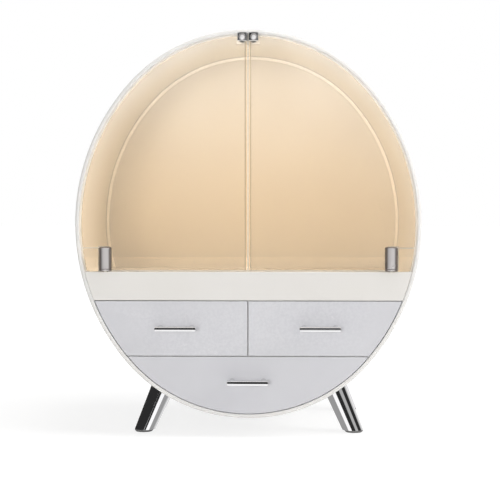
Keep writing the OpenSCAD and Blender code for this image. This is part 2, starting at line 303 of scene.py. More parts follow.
def setMaterial(piece, material):
    if piece.data.materials:
        piece.data.materials[0] = material
    else:
        piece.data.materials.append(material)


def finishPiece(piece, body, material, slot, *nodes):
    setMaterial(piece, material)
    if nodes:
        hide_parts(*nodes)
    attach(piece, body)
    return piece


def finishPair(rightPiece, body, material, slot, node):
    # the left piece is the right one's mirror image; {} in body and node stands for the side
    leftPiece = copyPiece(rightPiece, rightPiece.name.replace("right", "left"), mirrorX=True)
    for side, piece in (("left", leftPiece), ("right", rightPiece)):
        finishPiece(piece, body.format(side), material, slot, node.format(side))
    return leftPiece, rightPiece


# shader helpers
def newGroup(name, inputs, outputs=("Mask",)):
    group = bpy.data.node_groups.new(name, "ShaderNodeTree")
    for socketName, value in inputs:
        socket = group.interface.new_socket(socketName, in_out="INPUT", socket_type="NodeSocketFloat")
        socket.default_value = value
    for socketName in outputs:
        group.interface.new_socket(socketName, in_out="OUTPUT", socket_type="NodeSocketFloat")
    inner, outer = (group.nodes.new("NodeGroup" + end) for end in ("Input", "Output"))
    return group, inner, outer, objectPlace(group)


def setInputs(node, values):
    for name, value in values.items():
        node.inputs[name].default_value = value


def addNode(tree, kind, settings=None, inputs=None):
    node = tree.nodes.new(kind)
    for key, value in (settings or {}).items():
        setattr(node, key, value)
    setInputs(node, inputs or {})
    return node


def setOrLink(tree, socket, value):
    if isinstance(value, (int, float)):
        socket.default_value = value
    elif isinstance(value, tuple):
        socket.default_value = (*value, 1.0)
    else:
        tree.links.new(value, socket)


def math2(tree, operation, a, b):
    node = addNode(tree, "ShaderNodeMath", {"operation": operation})
    for index, value in enumerate((a, b)):
        setOrLink(tree, node.inputs[index], value)
    return node.outputs[0]


def noise(tree, vector, scale, detail=2.0, roughness=0.5):
    node = addNode(tree, "ShaderNodeTexNoise", inputs={"Detail": detail, "Roughness": roughness})
    setOrLink(tree, node.inputs["Scale"], scale)
    tree.links.new(vector, node.inputs["Vector"])
    return node.outputs["Fac"]


def spread(tree, value, low, high, newLow=0.0, newHigh=1.0):
    # a smooth step from newLow, where the value is low, to newHigh, where it is high
    node = addNode(tree, "ShaderNodeMapRange", {"interpolation_type": "SMOOTHSTEP"},
                   {"From Min": low, "From Max": high, "To Min": newLow, "To Max": newHigh})
    tree.links.new(value, node.inputs["Value"])
    return node.outputs["Result"]


def objectPlace(tree):
    return addNode(tree, "ShaderNodeTexCoord").outputs["Object"]


def splitAxes(tree, vector):
    split = addNode(tree, "ShaderNodeSeparateXYZ")
    tree.links.new(vector, split.inputs["Vector"])
    return [split.outputs[axis] for axis in "XYZ"]


def mixColour(tree, factor, first, second, blend="MIX"):
    node = addNode(tree, "ShaderNodeMix", {"data_type": "RGBA", "blend_type": blend})
    setOrLink(tree, node.inputs["Factor"], factor)
    for socket, value in ((node.inputs[6], first), (node.inputs[7], second)):
        setOrLink(tree, socket, value)
    return node.outputs[2]


def mixShaders(tree, factor, first, second):
    mix = addNode(tree, "ShaderNodeMixShader")
    for socket, source in zip((mix.inputs["Fac"], mix.inputs[1], mix.inputs[2]), (factor, first, second)):
        tree.links.new(source, socket)
    return mix.outputs["Shader"]


# effects that several materials share: noise scales per metre, and the ranges that spread takes
effects = {
    "toneScale": 14.0,
    "toneRange": (0.3, 0.7),
    "glossScale": 46.0,
    "glossRange": (0.35, 0.7),
    "edgeRange": (0.515, 0.58),
    "brokenRange": (0.35, 0.65),
    "blotRange": (0.52, 0.72),
    "ridgeScale": 420.0,
    "ridgeBend": 6.0,
    "ridgeRange": (0.1, 0.9, 0.6, 1.0),
    "upRange": (0.6, 0.98),
    "speckScale": 900.0,
    "speckRange": (0.5, 0.75),
    "speckShare": 0.5,
    "driftScale": 22.0,
    "driftRange": (0.3, 0.7),
}


def makeMouldedSkin():
    # the slight waviness of a moulded wall, a fine grain, and a soft unevenness of tone and gloss
    group, inner, outer, place = newGroup(
        "mouldedSkin", (("Wave Size", 90.0), ("Grain Size", 2600.0), ("Grain", 0.25)),
        ("Height", "Tone", "Gloss"))
    wave = noise(group, place, inner.outputs["Wave Size"], detail=1.0)
    grain = noise(group, place, inner.outputs["Grain Size"])
    fine = math2(group, "MULTIPLY", grain, inner.outputs["Grain"])
    tone = spread(group, noise(group, place, effects["toneScale"], detail=3.0), *effects["toneRange"])
    gloss = spread(group, noise(group, place, effects["glossScale"], detail=4.0, roughness=0.6),
                   *effects["glossRange"])
    group.links.new(math2(group, "ADD", wave, fine), outer.inputs["Height"])
    group.links.new(tone, outer.inputs["Tone"])
    group.links.new(gloss, outer.inputs["Gloss"])
    return group


def makeEdgeWear():
    # raised edges that hands rub, broken up so that they don't read as a drawn line
    group, inner, outer, place = newGroup("edgeWear", (("Amount", 0.6), ("Break Up", 380.0)))
    shape = addNode(group, "ShaderNodeNewGeometry")
    edge = spread(group, shape.outputs["Pointiness"], *effects["edgeRange"])
    breaks = noise(group, place, inner.outputs["Break Up"], detail=4.0, roughness=0.7)
    worn = math2(group, "MULTIPLY", edge, spread(group, breaks, *effects["brokenRange"]))
    group.links.new(math2(group, "MULTIPLY", worn, inner.outputs["Amount"]), outer.inputs["Mask"])
    return group


def makeHandling():
    # smudges from fingers: soft blots with faint ridges inside them
    group, inner, outer, place = newGroup("handling", (("Amount", 0.5), ("Blot Size", 38.0)))
    blots = spread(group, noise(group, place, inner.outputs["Blot Size"]), *effects["blotRange"])
    ridges = addNode(group, "ShaderNodeTexWave", {"wave_type": "RINGS"},
                     {"Scale": effects["ridgeScale"], "Distortion": effects["ridgeBend"], "Detail": 2.0})
    group.links.new(place, ridges.inputs["Vector"])
    marks = math2(group, "MULTIPLY", blots, spread(group, ridges.outputs["Fac"], *effects["ridgeRange"]))
    group.links.new(math2(group, "MULTIPLY", marks, inner.outputs["Amount"]), outer.inputs["Mask"])
    return group


def makeSettledDust():
    # a little dust where a face looks up
    group, inner, outer, place = newGroup("settledDust", (("Amount", 0.4),))
    shape = addNode(group, "ShaderNodeNewGeometry")
    up = spread(group, splitAxes(group, shape.outputs["Normal"])[2], *effects["upRange"])
    specks = spread(group, noise(group, place, effects["speckScale"], detail=3.0, roughness=0.7),
                    *effects["speckRange"])
    drift = spread(group, noise(group, place, effects["driftScale"], detail=3.0), *effects["driftRange"])
    layer = math2(group, "ADD", math2(group, "MULTIPLY", specks, effects["speckShare"]), drift)
    dust = math2(group, "MULTIPLY", up, layer)
    group.links.new(math2(group, "MULTIPLY", dust, inner.outputs["Amount"]), outer.inputs["Mask"])
    return group


mouldedSkin = makeMouldedSkin()
edgeWear = makeEdgeWear()
handling = makeHandling()
settledDust = makeSettledDust()


def useGroup(tree, group, inputs):
    return addNode(tree, "ShaderNodeGroup", {"node_tree": group}, inputs)


def useSkin(tree, look):
    return useGroup(tree, mouldedSkin, {
        "Wave Size": look["waveSize"], "Grain Size": look["grainSize"], "Grain": look["grain"]})


def newMaterial(name, colour):
    material = bpy.data.materials.new(name)
    material.use_nodes = True
    material.diffuse_color = (*colour, 1.0)
    tree = material.node_tree
    return material, tree, tree.nodes["Principled BSDF"]


# what the materials share; each mark's number is what it adds to the roughness
finish = {
    "glossSpread": 0.04,
    "plasticMarks": {"smudges": 0.1, "wear": 0.25, "dust": 0.3},
    "plasticRelief": 0.0002,
    "metalMarks": {"smudges": 0.08, "wear": 0.2},
    "metalBlots": 60.0,
    "fineRelief": 0.0001,
    "clearBlots": 24.0,
    "clearTone": (0.99, 0.985, 0.98),
    "clearIor": 1.49,
    "paleRange": (0.20, 0.38),
    # the depths over which the painted amber light on the inside wall grows
    "paintedBounceRange": (-0.09, 0.06),
    # the facing range and dark colour of the painted edge shade on round metal
    "glowRadius": (0.0042, 0.0041, 0.0040),
    "paintedShadeRange": (0.06, 0.28),
    "paintedShadeColour": (0.12, 0.10, 0.09),
}


def setSurface(tree, shader, look, skin, masks, added, relief):
    # the plain roughness with its unevenness and what each mark adds to it, and the fine relief
    rough = spread(tree, skin.outputs["Gloss"], 0.0, 1.0, look["roughness"],
                   look["roughness"] + finish["glossSpread"])
    for mark, amount in added.items():
        rough = math2(tree, "ADD", rough, math2(tree, "MULTIPLY", masks[mark].outputs["Mask"], amount))
    tree.links.new(rough, shader.inputs["Roughness"])
    setRelief(tree, shader, look, skin, relief)


def setRelief(tree, shader, look, skin, distance):
    node = addNode(tree, "ShaderNodeBump", inputs={"Strength": look["bump"], "Distance": distance})
    tree.links.new(skin.outputs["Height"], node.inputs["Height"])
    tree.links.new(node.outputs["Normal"], shader.inputs["Normal"])


def plasticMaterial(name, look):
    material, tree, shader = newMaterial(name, look["colour"])
    skin = useSkin(tree, look)
    masks = {
        "smudges": useGroup(tree, handling, {"Amount": look["smudges"]}),
        "wear": useGroup(tree, edgeWear, {"Amount": look["wear"]}),
        "dust": useGroup(tree, settledDust, {"Amount": look["dust"]}),
    }
    base = mixColour(tree, skin.outputs["Tone"], look["colour"], look["warmTone"])
    if look["paintedBounceTone"]:
        # painted light: towards the back of the case the wall's colour turns to the amber of the light that
        # comes in through the doors
        depth = spread(tree, splitAxes(tree, objectPlace(tree))[1], *finish["paintedBounceRange"])
        base = mixColour(tree, depth, base, look["paintedBounceTone"])
    base = mixColour(tree, masks["wear"].outputs["Mask"], base, look["wornColour"])
    base = mixColour(tree, masks["dust"].outputs["Mask"], base, look["dustColour"])
    tree.links.new(base, shader.inputs["Base Color"])
    setSurface(tree, shader, look, skin, masks, finish["plasticMarks"], finish["plasticRelief"])
    setInputs(shader, {"IOR": look["ior"]})
    if look["glow"] > 0:
        # a thin white wall lets some of the light on its far side through
        setInputs(shader, {"Subsurface Weight": look["glow"], "Subsurface Radius": finish["glowRadius"],
                           "Subsurface Scale": 1.0})
    return material


plasticBasis = {
    "dustColour": (0.8, 0.78, 0.75),
    "waveSize": 60.0, "grainSize": 2400.0, "grain": 0.05, "wear": 0.4, "smudges": 0.1, "dust": 0.1,
    "bump": 0.01, "ior": 1.5, "glow": 0.0,
    "paintedBounceTone": None,
}
insideBasis = {
    **plasticBasis,
    "wornColour": (0.86, 0.84, 0.81),
    "roughness": 0.42, "waveSize": 8.0, "grain": 0.0, "wear": 0.1, "smudges": 0.05, "dust": 0.12,
    "ior": 1.45,
}
shellPlastic = plasticMaterial("shellPlastic", {
    **plasticBasis,
    "colour": (0.775, 0.765, 0.745),
    "warmTone": (0.785, 0.77, 0.745),
    "wornColour": (0.76, 0.74, 0.71),
    "dustColour": (0.72, 0.70, 0.67),
    "roughness": 0.22, "waveSize": 30.0, "wear": 0.35, "dust": 0.04, "bump": 0.03, "glow": 0.5,
})
innerPlastic = plasticMaterial("innerPlastic", {
    **insideBasis,
    "colour": (0.745, 0.73, 0.71),
    "warmTone": (0.755, 0.74, 0.715),
})
# the shell's inside faces: a paler, cooler copy of its plastic, as painted light
linerPlastic = plasticMaterial("linerPlastic", {
    **insideBasis,
    "colour": (0.93, 0.945, 0.965),
    "warmTone": (0.925, 0.94, 0.955),
    "glow": 0.6,
    "paintedBounceTone": (0.94, 0.905, 0.85),
})
bandPlastic = plasticMaterial("bandPlastic", {
    **plasticBasis,
    "colour": (0.755, 0.735, 0.70),
    "warmTone": (0.765, 0.745, 0.715),
    "wornColour": (0.70, 0.68, 0.65),
    "dustColour": (0.70, 0.68, 0.65),
    "roughness": 0.15, "wear": 0.3, "smudges": 0.25, "bump": 0.3,
})
# a whiter finish with a high IOR: painted highlight along the bead
beadHighlightPlastic = plasticMaterial("beadHighlightPlastic", {
    **plasticBasis,
    "colour": (0.97, 0.965, 0.955),
    "warmTone": (0.965, 0.96, 0.95),
    "wornColour": (0.9, 0.89, 0.87),
    "roughness": 0.35, "grain": 0.04, "wear": 0.2, "ior": 2.3,
})
drawerPlastic = plasticMaterial("drawerPlastic", {
    **plasticBasis,
    "colour": (0.615, 0.615, 0.645),
    "warmTone": (0.635, 0.635, 0.66),
    "wornColour": (0.74, 0.74, 0.76),
    "dustColour": (0.66, 0.65, 0.64),
    "roughness": 0.13, "waveSize": 42.0, "grainSize": 2200.0, "grain": 0.04, "smudges": 0.3,
    "bump": 0.1,
})
trayPlastic = plasticMaterial("trayPlastic", {
    **plasticBasis,
    "colour": (0.74, 0.735, 0.73),
    "warmTone": (0.77, 0.765, 0.755),
    "wornColour": (0.66, 0.65, 0.63),
    "dustColour": (0.6, 0.58, 0.55),
    "roughness": 0.34, "waveSize": 70.0, "grainSize": 1500.0, "grain": 0.5, "smudges": 0.4,
    "dust": 0.25, "bump": 0.5,
})
padRubber = plasticMaterial("padRubber", {
    **plasticBasis,
    "colour": (0.15, 0.15, 0.15),
    "warmTone": (0.17, 0.168, 0.165),
    "wornColour": (0.22, 0.22, 0.22),
    "dustColour": (0.3, 0.29, 0.28),
    "roughness": 0.6, "waveSize": 200.0, "grainSize": 1400.0, "grain": 0.8, "wear": 0.5,
    "smudges": 0.3, "dust": 0.2, "bump": 0.6,
})


def metalMaterial(name, look):
    material, tree, shader = newMaterial(name, look["colour"])
    masks = {
        "smudges": useGroup(tree, handling, {"Amount": look["smudges"], "Blot Size": finish["metalBlots"]}),
        "wear": useGroup(tree, edgeWear, {"Amount": look["wear"]}),
    }
    skin = useSkin(tree, look)
    base = mixColour(tree, skin.outputs["Tone"], look["colour"], look["secondTone"])
    base = mixColour(tree, masks["wear"].outputs["Mask"], base, look["wornColour"])
    if look["paintedEdgeShade"] > 0:
        # painted reflection: along both edges of a round piece, where it turns away from the view, the base
        # colour is darkened to stand in for the dark of the case that it would mirror there
        facing = addNode(tree, "ShaderNodeLayerWeight", inputs={"Blend": 0.5}).outputs["Facing"]
        shade = spread(tree, facing, *finish["paintedShadeRange"], 0.0, look["paintedEdgeShade"])
        base = mixColour(tree, shade, base, finish["paintedShadeColour"])
    tree.links.new(base, shader.inputs["Base Color"])
    setSurface(tree, shader, look, skin, masks, finish["metalMarks"], finish["fineRelief"])
    setInputs(shader, {"Metallic": look["metallic"]})
    return material


# paintedEdgeShade is how far the base colour is darkened along the edges, as painted reflection
metalBasis = {"metallic": 1.0, "paintedEdgeShade": 0.0}
chromeBasis = {
    "metallic": 0.3, "paintedEdgeShade": 0.9,
    "wornColour": (0.60, 0.59, 0.58),
    "waveSize": 120.0, "grainSize": 3600.0,
}
polishedChrome = metalMaterial("polishedChrome", {
    **metalBasis,
    "colour": (0.80, 0.80, 0.81),
    "secondTone": (0.78, 0.775, 0.78),
    "wornColour": (0.62, 0.61, 0.60),
    "roughness": 0.05, "waveSize": 80.0, "grainSize": 3200.0, "grain": 0.03, "wear": 0.25,
    "smudges": 0.7, "bump": 0.12,
})
satinChrome = metalMaterial("satinChrome", {
    **chromeBasis,
    "colour": (0.80, 0.76, 0.75),
    "secondTone": (0.76, 0.73, 0.72),
    "roughness": 0.25, "metallic": 0.45, "grain": 0.3, "wear": 0.3, "smudges": 0.5, "bump": 0.25,
})
# the buttons' pale base, little of it metal, is painted highlight: it stands in for the white that the
# domes mirror
buttonHighlightChrome = metalMaterial("buttonHighlightChrome", {
    **chromeBasis,
    "colour": (0.93, 0.915, 0.915),
    "secondTone": (0.91, 0.90, 0.90),
    "roughness": 0.2, "grain": 0.1, "wear": 0.2, "smudges": 0.3, "bump": 0.05,
})
zincSteel = metalMaterial("zincSteel", {
    **metalBasis,
    "colour": (0.52, 0.52, 0.53),
    "secondTone": (0.46, 0.46, 0.45),
    "wornColour": (0.66, 0.66, 0.66),
    "roughness": 0.32, "waveSize": 160.0, "grainSize": 2600.0, "grain": 0.5, "wear": 0.5,
    "smudges": 0.4, "bump": 0.4,
})


def clearMaterial(name, look):
    # lamps reach what is behind the sheet through the Transparent shader
    material, tree, shader = newMaterial(name, look["tint"])
    smudge = useGroup(tree, handling, {"Amount": look["smudges"], "Blot Size": finish["clearBlots"]})
    skin = useSkin(tree, look)
    # the tint pales towards the top
    height = spread(tree, splitAxes(tree, objectPlace(tree))[2], *finish["paleRange"])
    base = mixColour(tree, height, look["tint"], look["topTint"])
    base = mixColour(tree, skin.outputs["Tone"], base, finish["clearTone"], "MULTIPLY")
    tree.links.new(base, shader.inputs["Base Color"])
    rough = math2(tree, "MULTIPLY", smudge.outputs["Mask"], look["haze"])
    tree.links.new(math2(tree, "ADD", rough, look["roughness"]), shader.inputs["Roughness"])
    setRelief(tree, shader, look, skin, finish["fineRelief"])
    setInputs(shader, {"Transmission Weight": look["transmission"], "IOR": finish["clearIor"]})
    # a lamp's ray passes two faces of the sheet, so each takes the square root of the tint
    halfTints = [tuple(channel ** 0.5 for channel in look[key]) for key in ("lampTint", "lampTopTint")]
    through = addNode(tree, "ShaderNodeBsdfTransparent")
    tree.links.new(mixColour(tree, height, *halfTints), through.inputs["Color"])
    path = addNode(tree, "ShaderNodeLightPath")
    surface = mixShaders(tree, path.outputs["Is Shadow Ray"], shader.outputs[0], through.outputs[0])
    tree.links.new(surface, tree.nodes["Material Output"].inputs["Surface"])
    return material


clearBasis = {
    "smudges": 0.3, "haze": 0.05, "waveSize": 20.0, "grainSize": 2000.0, "grain": 0.02, "bump": 0.03,
    "transmission": 1.0,
}
cutBasis = {**clearBasis, "haze": 0.1, "waveSize": 60.0, "bump": 0.2}
amberAcrylic = clearMaterial("amberAcrylic", {
    **clearBasis,
    "tint": (0.94, 0.815, 0.65),
    "topTint": (0.985, 0.93, 0.855),
    "lampTint": (0.95, 0.84, 0.69),
    "lampTopTint": (0.99, 0.95, 0.90),
    "smudges": 0.5, "haze": 0.03, "roughness": 0.0, "waveSize": 12.0, "bump": 0.01,
})
amberEdge = clearMaterial("amberEdge", {
    **cutBasis,
    "tint": (0.95, 0.84, 0.72),
    "topTint": (0.97, 0.90, 0.82),
    "lampTint": (0.97, 0.88, 0.76),
    "lampTopTint": (0.98, 0.92, 0.85),
    "smudges": 0.5, "roughness": 0.12, "transmission": 0.55,
})
# painted shade for the gap between door and ear: dark to the view, while lamps still pass
amberPaintedShade = clearMaterial("amberPaintedShade", {
    **cutBasis,
    "tint": (0.26, 0.17, 0.12),
    "topTint": (0.26, 0.17, 0.12),
    "lampTint": (0.9, 0.8, 0.7),
    "lampTopTint": (0.9, 0.8, 0.7),
    "roughness": 0.15, "transmission": 0.05,
})
clearStrip = clearMaterial("clearStrip", {
    **clearBasis,
    "tint": (0.98, 0.92, 0.82),
    "topTint": (0.99, 0.95, 0.88),
    "lampTint": (0.99, 0.97, 0.93),
    "lampTopTint": (0.99, 0.98, 0.95),
    "roughness": 0.02,
})
# painted shade for the seam between the doors: dark to the view, while lamps still pass
stripSeamShade = clearMaterial("stripSeamShade", {
    **clearBasis,
    "tint": (0.52, 0.42, 0.29),
    "topTint": (0.54, 0.45, 0.33),
    "lampTint": (0.8, 0.7, 0.6),
    "lampTopTint": (0.8, 0.7, 0.6),
    "roughness": 0.1, "transmission": 0.1,
})
print("materials ready")


# the oval shell
shell = {
    "wall": 0.0038,
    "frontRound": 0.0022,
    "innerRound": 0.0008,
    "backRound": 0.0034,
    "roundSegments": 6,
    "cornerReach": 0.00001,
    "smoothAngle": 35,
    "lugs": ((0.1465, 0.222), (0.097, 0.072)),
    "lugHalfHeight": 0.008,
    "lugInner": 0.009,
    "lugOverlap": 0.0003,
    "lugShort": 0.0002,
    "lugEdge": 0.0005,
    "linerFrom": 0.003,
    "linerTilt": 0.5,
}


def makeShell():
    start = Vector(meetingPoint(shell["wall"] / 2))
    outward = start + Vector((oval["sideOffset"], 0, -oval["centreZ"]))
    deselectAll()
    bpy.ops.mesh.primitive_plane_add(size=1)
    piece = bpy.context.object
    piece.rotation_euler = (0, oval["meeting"], 0)
    piece.scale = (shell["wall"], shellHigh.y - shellLow.y, 1)
    piece.location = (start.x, (shellLow.y + shellHigh.y) / 2, start.z)
    startPiece("shellWall")
    corners = (
        (True, shellLow.y, shell["frontRound"]),
        (False, shellLow.y, shell["innerRound"]),
        (True, shellHigh.y, shell["backRound"]),
    )
    for outer, y, radius in corners:
        pick(piece, "VERT", lambda c: ((c - start).dot(outward) > 0) == outer
             and abs(c.y - y) < shell["cornerReach"])
        bpy.ops.mesh.bevel(offset=radius, segments=shell["roundSegments"], affect="VERTICES")
        objectMode()
    editMode("FACE")
    bpy.ops.mesh.delete(type="ONLY_FACE")
    bpy.ops.mesh.select_mode(type="EDGE")
    selectAll()
    spinRound()
    weld(modelling["weld"])
    smoothBelow(shell["smoothAngle"])
    lugs = []
    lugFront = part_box("back_panel")[1].y
    for x, z in shell["lugs"]:
        heights = (z - shell["lugHalfHeight"], z + shell["lugHalfHeight"])
        for sides in ((x - shell["lugInner"], far), (-far, shell["lugInner"] - x)):
            lug = ovalPlate("lug", shell["wall"] - shell["lugOverlap"], lugFront,
                            shellHigh.y - shell["lugShort"], sides, heights)
            softenEdges(lug, shell["lugEdge"], segments=2)
            lugs.append(lug)
    return joinPieces([piece] + lugs, "shellWall")


def lineShell(piece):
    # the faces that look into the case take a paler, cooler copy of the shell's plastic: painted light that
    # brightens the inside of the case
    piece.data.materials.append(linerPlastic)
    centre = Vector((0, 0, oval["centreZ"]))
    for face in piece.data.polygons:
        distance = Vector((face.center.x, 0, face.center.z - centre.z)).length
        inward = (centre - face.center).dot(face.normal) > shell["linerTilt"] * distance
        if inward and face.center.y > shellLow.y + shell["linerFrom"]:
            face.material_index = 1


shellWall = makeShell()
finishPiece(shellWall, "cabinet", shellPlastic, "shell_plastic", "body_shell")
lineShell(shellWall)
print("shell built")


# the bead round the back wall; it is whiter than the wall beside it and has a high IOR, so that it shows as
# a bright ring: painted highlight
bead = {
    "inset": 0.0055,
    "behind": 0.0018,
    "radius": 0.0019,
    "sides": 16,
    "belowDeck": 0.001,
    "smoothAngle": 60,
}


def makeBead():
    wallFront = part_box("back_screw_caps")[1].y
    deselectAll()
    bpy.ops.mesh.primitive_circle_add(vertices=bead["sides"], radius=bead["radius"],
                                      location=meetingPoint(bead["inset"], wallFront - bead["behind"]),
                                      rotation=(0, oval["meeting"], 0))
    piece = startPiece("rear-highlight-bead")
    editMode("EDGE")
    spinRound()
    weld(modelling["weld"])
    cutAt(2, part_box("display_deck")[1].z - bead["belowDeck"], clearBelow=True)
    smoothBelow(bead["smoothAngle"])
    return piece


finishPiece(makeBead(), "cabinet", beadHighlightPlastic, "shell_plastic")
print("bead built")


# the fascia band
band = {
    "inset": 0.0039,
    "edge": 0.0006,
    "thickness": 0.003,
    "overlap": 0.0002,
    "flangeDrop": 0.003,
    "flangeEdge": 0.0003,
    "belowTop": 0.0005,
    "seatHalf": 0.0045,
    "seatDepth": 0.0075,
    "ribs": (-0.06, 0, 0.06),
    "ribHalf": 0.001,
    "ribShort": 0.001,
}


def makeBand():
    low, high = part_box("fascia_band")
    back = low.y + band["thickness"]
    inside = back - band["overlap"]
    face = ovalPlate("bandFace", band["inset"], low.y, back, heights=(low.z, high.z))
    softenEdges(face, band["edge"])
    flange = ovalPlate("flange", band["inset"], inside, high.y,
                       heights=(high.z - band["flangeDrop"], high.z))
    softenEdges(flange, band["flangeEdge"], segments=2)
    parts = [face, flange]
    pinLow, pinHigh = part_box("right_hinge_pin")
    seat = (pinLow.x + pinHigh.x) / 2
    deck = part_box("display_deck")[1].z
    supports = [("seat", x, band["seatHalf"], low.y + band["seatDepth"]) for x in (seat, -seat)]
    supports += [("rib", x, band["ribHalf"], high.y - band["ribShort"]) for x in band["ribs"]]
    for name, x, reach, end in supports:
        parts.append(block(name, (x - reach, inside, deck), (x + reach, end, high.z - band["belowTop"])))
    return joinPieces(parts, "fasciaBand")


finishPiece(makeBand(), "cabinet", bandPlastic, "shell_plastic", "fascia_band")
print("fascia built")


# the drawer fronts
drawerFace = {"inset": 0.0045, "edge": 0.0004}


def makeDrawerFront(body, sides):
    node = body + "_front"
    low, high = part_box(node)
    heights = (low.z if body != "lower_drawer" else -far, high.z)
    name = node.replace("_", "-") + "-plate"
    piece = ovalPlate(name, drawerFace["inset"], low.y, high.y, sides, heights)
    softenEdges(piece, drawerFace["edge"])
    finishPiece(piece, body, drawerPlastic, "drawer_plastic", node)


makeDrawerFront("upper_left_drawer", (-far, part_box("upper_left_drawer_front")[1].x))
makeDrawerFront("upper_right_drawer", (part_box("upper_right_drawer_front")[0].x, far))
makeDrawerFront("lower_drawer", (-far, far))
print("drawer fronts built")


# the handles; barEnd is in end rounds: how far in from the side, how far along from the end
pull = {
    "barRadius": 0.0025,
    "barSteps": 56,
    "endRound": 0.0002,
    "barEnd": ((2, 0), (0.6, 0.3), (0, 1.4), (0, 2.5)),
    "postX": 0.015,
    "postRadius": 0.0024,
    "postSteps": 40,
    "footFlare": 0.0003,
    "footProfile": ((1, 0), (1, 0.0006), (0.4, 0.0009), (0, 0.0016)),
}


def makeHandle():
    # modelled at the lower drawer, and copied to the two upper ones
    low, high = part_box("lower_drawer_handle")
    half = (high.x - low.x) / 2
    r = pull["barRadius"]
    e = pull["endRound"]
    end = [(r - inward * e, half - along * e) for inward, along in pull["barEnd"]]
    profile = [(0, -half)] + [(radius, -height) for radius, height in end] + end[::-1] + [(0, half)]
    bar = turned("bar", profile, (0, 0, 0), pull["barSteps"])
    bar.rotation_euler = (0, math.pi / 2, 0)
    bar.location = ((low.x + high.x) / 2, low.y + r, (low.z + high.z) / 2)
    activate(bar)
    applyPlace()
    parts = [bar]
    p = pull["postRadius"]
    foot = [(p + pull["footFlare"] * flare, height) for flare, height in pull["footProfile"]]
    foot.append((p, high.y - low.y - r))
    for side in (-1, 1):
        place = (side * pull["postX"], high.y, (low.z + high.z) / 2)
        parts.append(turned("post", foot, place, pull["postSteps"], alongY=True))
    return joinPieces(parts, "lower-handle")


lowerHandle = makeHandle()
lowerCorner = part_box("lower_drawer_handle")[0]
for sideName in ("left", "right"):
    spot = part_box("upper_" + sideName + "_drawer_handle")[0] - lowerCorner
    twin = copyPiece(lowerHandle, "upper-" + sideName + "-handle", tuple(spot))
    finishPiece(twin, "upper_" + sideName + "_drawer", polishedChrome, "chrome",
                "upper_" + sideName + "_drawer_handle")
finishPiece(lowerHandle, "lower_drawer", polishedChrome, "chrome", "lower_drawer_handle")
print("handles built")


# the doors and the ears
door = {
    "inset": 0.0056,
    "edge": 0.0009,
    "tongue": 0.0034,
    "besideEar": 0.0002,
    "aboveSleeve": 0.0004,
    "aboveEar": 0.0007,
    "earRound": 0.004,
    "seamReach": 0.002,
    "sideways": 0.9,
}


def edgeFaces(piece):
    # the cut edges of a sheet take a brighter finish than its faces, and along the seam between door
    # and ear a dark finish that is painted shade
    piece.data.materials.append(amberEdge)
    piece.data.materials.append(amberPaintedShade)
    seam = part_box("right_corner_ear")[1].z
    for face in piece.data.polygons:
        if abs(face.normal.y) < door["sideways"]:
            level = abs(face.normal.z) > door["sideways"]
            face.material_index = 2 if level and abs(face.center.z - seam) < door["seamReach"] else 1


def makeDoor():
    low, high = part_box("right_door_panel")
    sleeveLow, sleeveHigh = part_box("right_hinge_sleeve")
    hinge = (sleeveLow.x + sleeveHigh.x) / 2
    earLow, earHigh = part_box("right_corner_ear")
    notches = (
        (hinge - door["tongue"], earLow.x - door["besideEar"], -far, sleeveHigh.z + door["aboveSleeve"]),
        (hinge, far, -far, earHigh.z + door["aboveEar"]),
    )
    panel = ovalPlate("right-door-sheet", door["inset"], low.y, high.y, (low.x, far), (low.z, far), notches)
    softenEdges(panel, door["edge"])
    return panel


for panel in finishPair(makeDoor(), "{}_door", amberAcrylic, "amber_acrylic", "{}_door_panel"):
    edgeFaces(panel)


def makeEar():
    low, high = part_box("right_corner_ear")
    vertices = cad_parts["right_corner_ear"].data.vertices
    corner = max(vertex.co.x for vertex in vertices if abs(vertex.co.z - low.z) < touching)
    ear = ovalPlate("right-ear-sheet", door["inset"], low.y, high.y, (low.x, far), (low.z, high.z),
                    rounded=((corner, low.z, door["earRound"]),))
    softenEdges(ear, door["edge"])
    return ear


for ear in finishPair(makeEar(), "cabinet", amberAcrylic, "amber_acrylic", "{}_corner_ear"):
    edgeFaces(ear)


# the clear strips along the seam of the doors
stripLook = {"slope": 0.0008, "edge": 0.0001, "upright": 0.1, "sideways": 0.5}


def makeStrip():
    low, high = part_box("right_edge_strip")
    strip = block("right-strip", low, high)
    pick(strip, "EDGE", lambda c, d: c.x > high.x - touching and c.y < low.y + touching
         and abs(d.z) > stripLook["upright"])
    bpy.ops.mesh.bevel(offset=stripLook["slope"], segments=1, affect="EDGES")
    objectMode()
    softenEdges(strip, stripLook["edge"], segments=2)
    strip.data.materials.append(clearStrip)
    strip.data.materials.append(stripSeamShade)
    # the outermost side faces take a dark amber finish: painted shade along the seam between the doors
    for face in strip.data.polygons:
        outermost = face.center.x > high.x - stripLook["slope"]
        if outermost and max(abs(face.normal.z), face.normal.y) < stripLook["sideways"]:
            face.material_index = 1
    return strip


finishPair(makeStrip(), "{}_door", clearStrip, "clear_strip", "{}_edge_strip")
print("doors built")


# the hinge barrels; the crown is given as how far in from the side, how far below the top
barrel = {
    "bore": 0.00155,
    "groove": 0.0003,
    "grooveAt": 0.0016,
    "crown": ((0, 0.0015), (0, 0.0011), (0.00008, 0.0009), (0.00081, 0.00012), (0.0011, 0)),
    "steps": 88,
}


def makeBarrel():
    low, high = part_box("right_hinge_sleeve")
    r = (high.x - low.x) / 2
    tall = high.z - low.z
    g = barrel["groove"]
    at = barrel["grooveAt"]
    foot = [(barrel["bore"], 0), (r - g, 0), (r, g)]
    groove = [(r, at), (r - g, at + g), (r, at + 2 * g), (r, at + 3 * g)]
    crown = [(r - inward, tall - below) for inward, below in barrel["crown"]] + [(0, tall)]
    place = ((low.x + high.x) / 2, (low.y + high.y) / 2, low.z)
    return turned("right-barrel", foot + groove + crown, place, barrel["steps"])


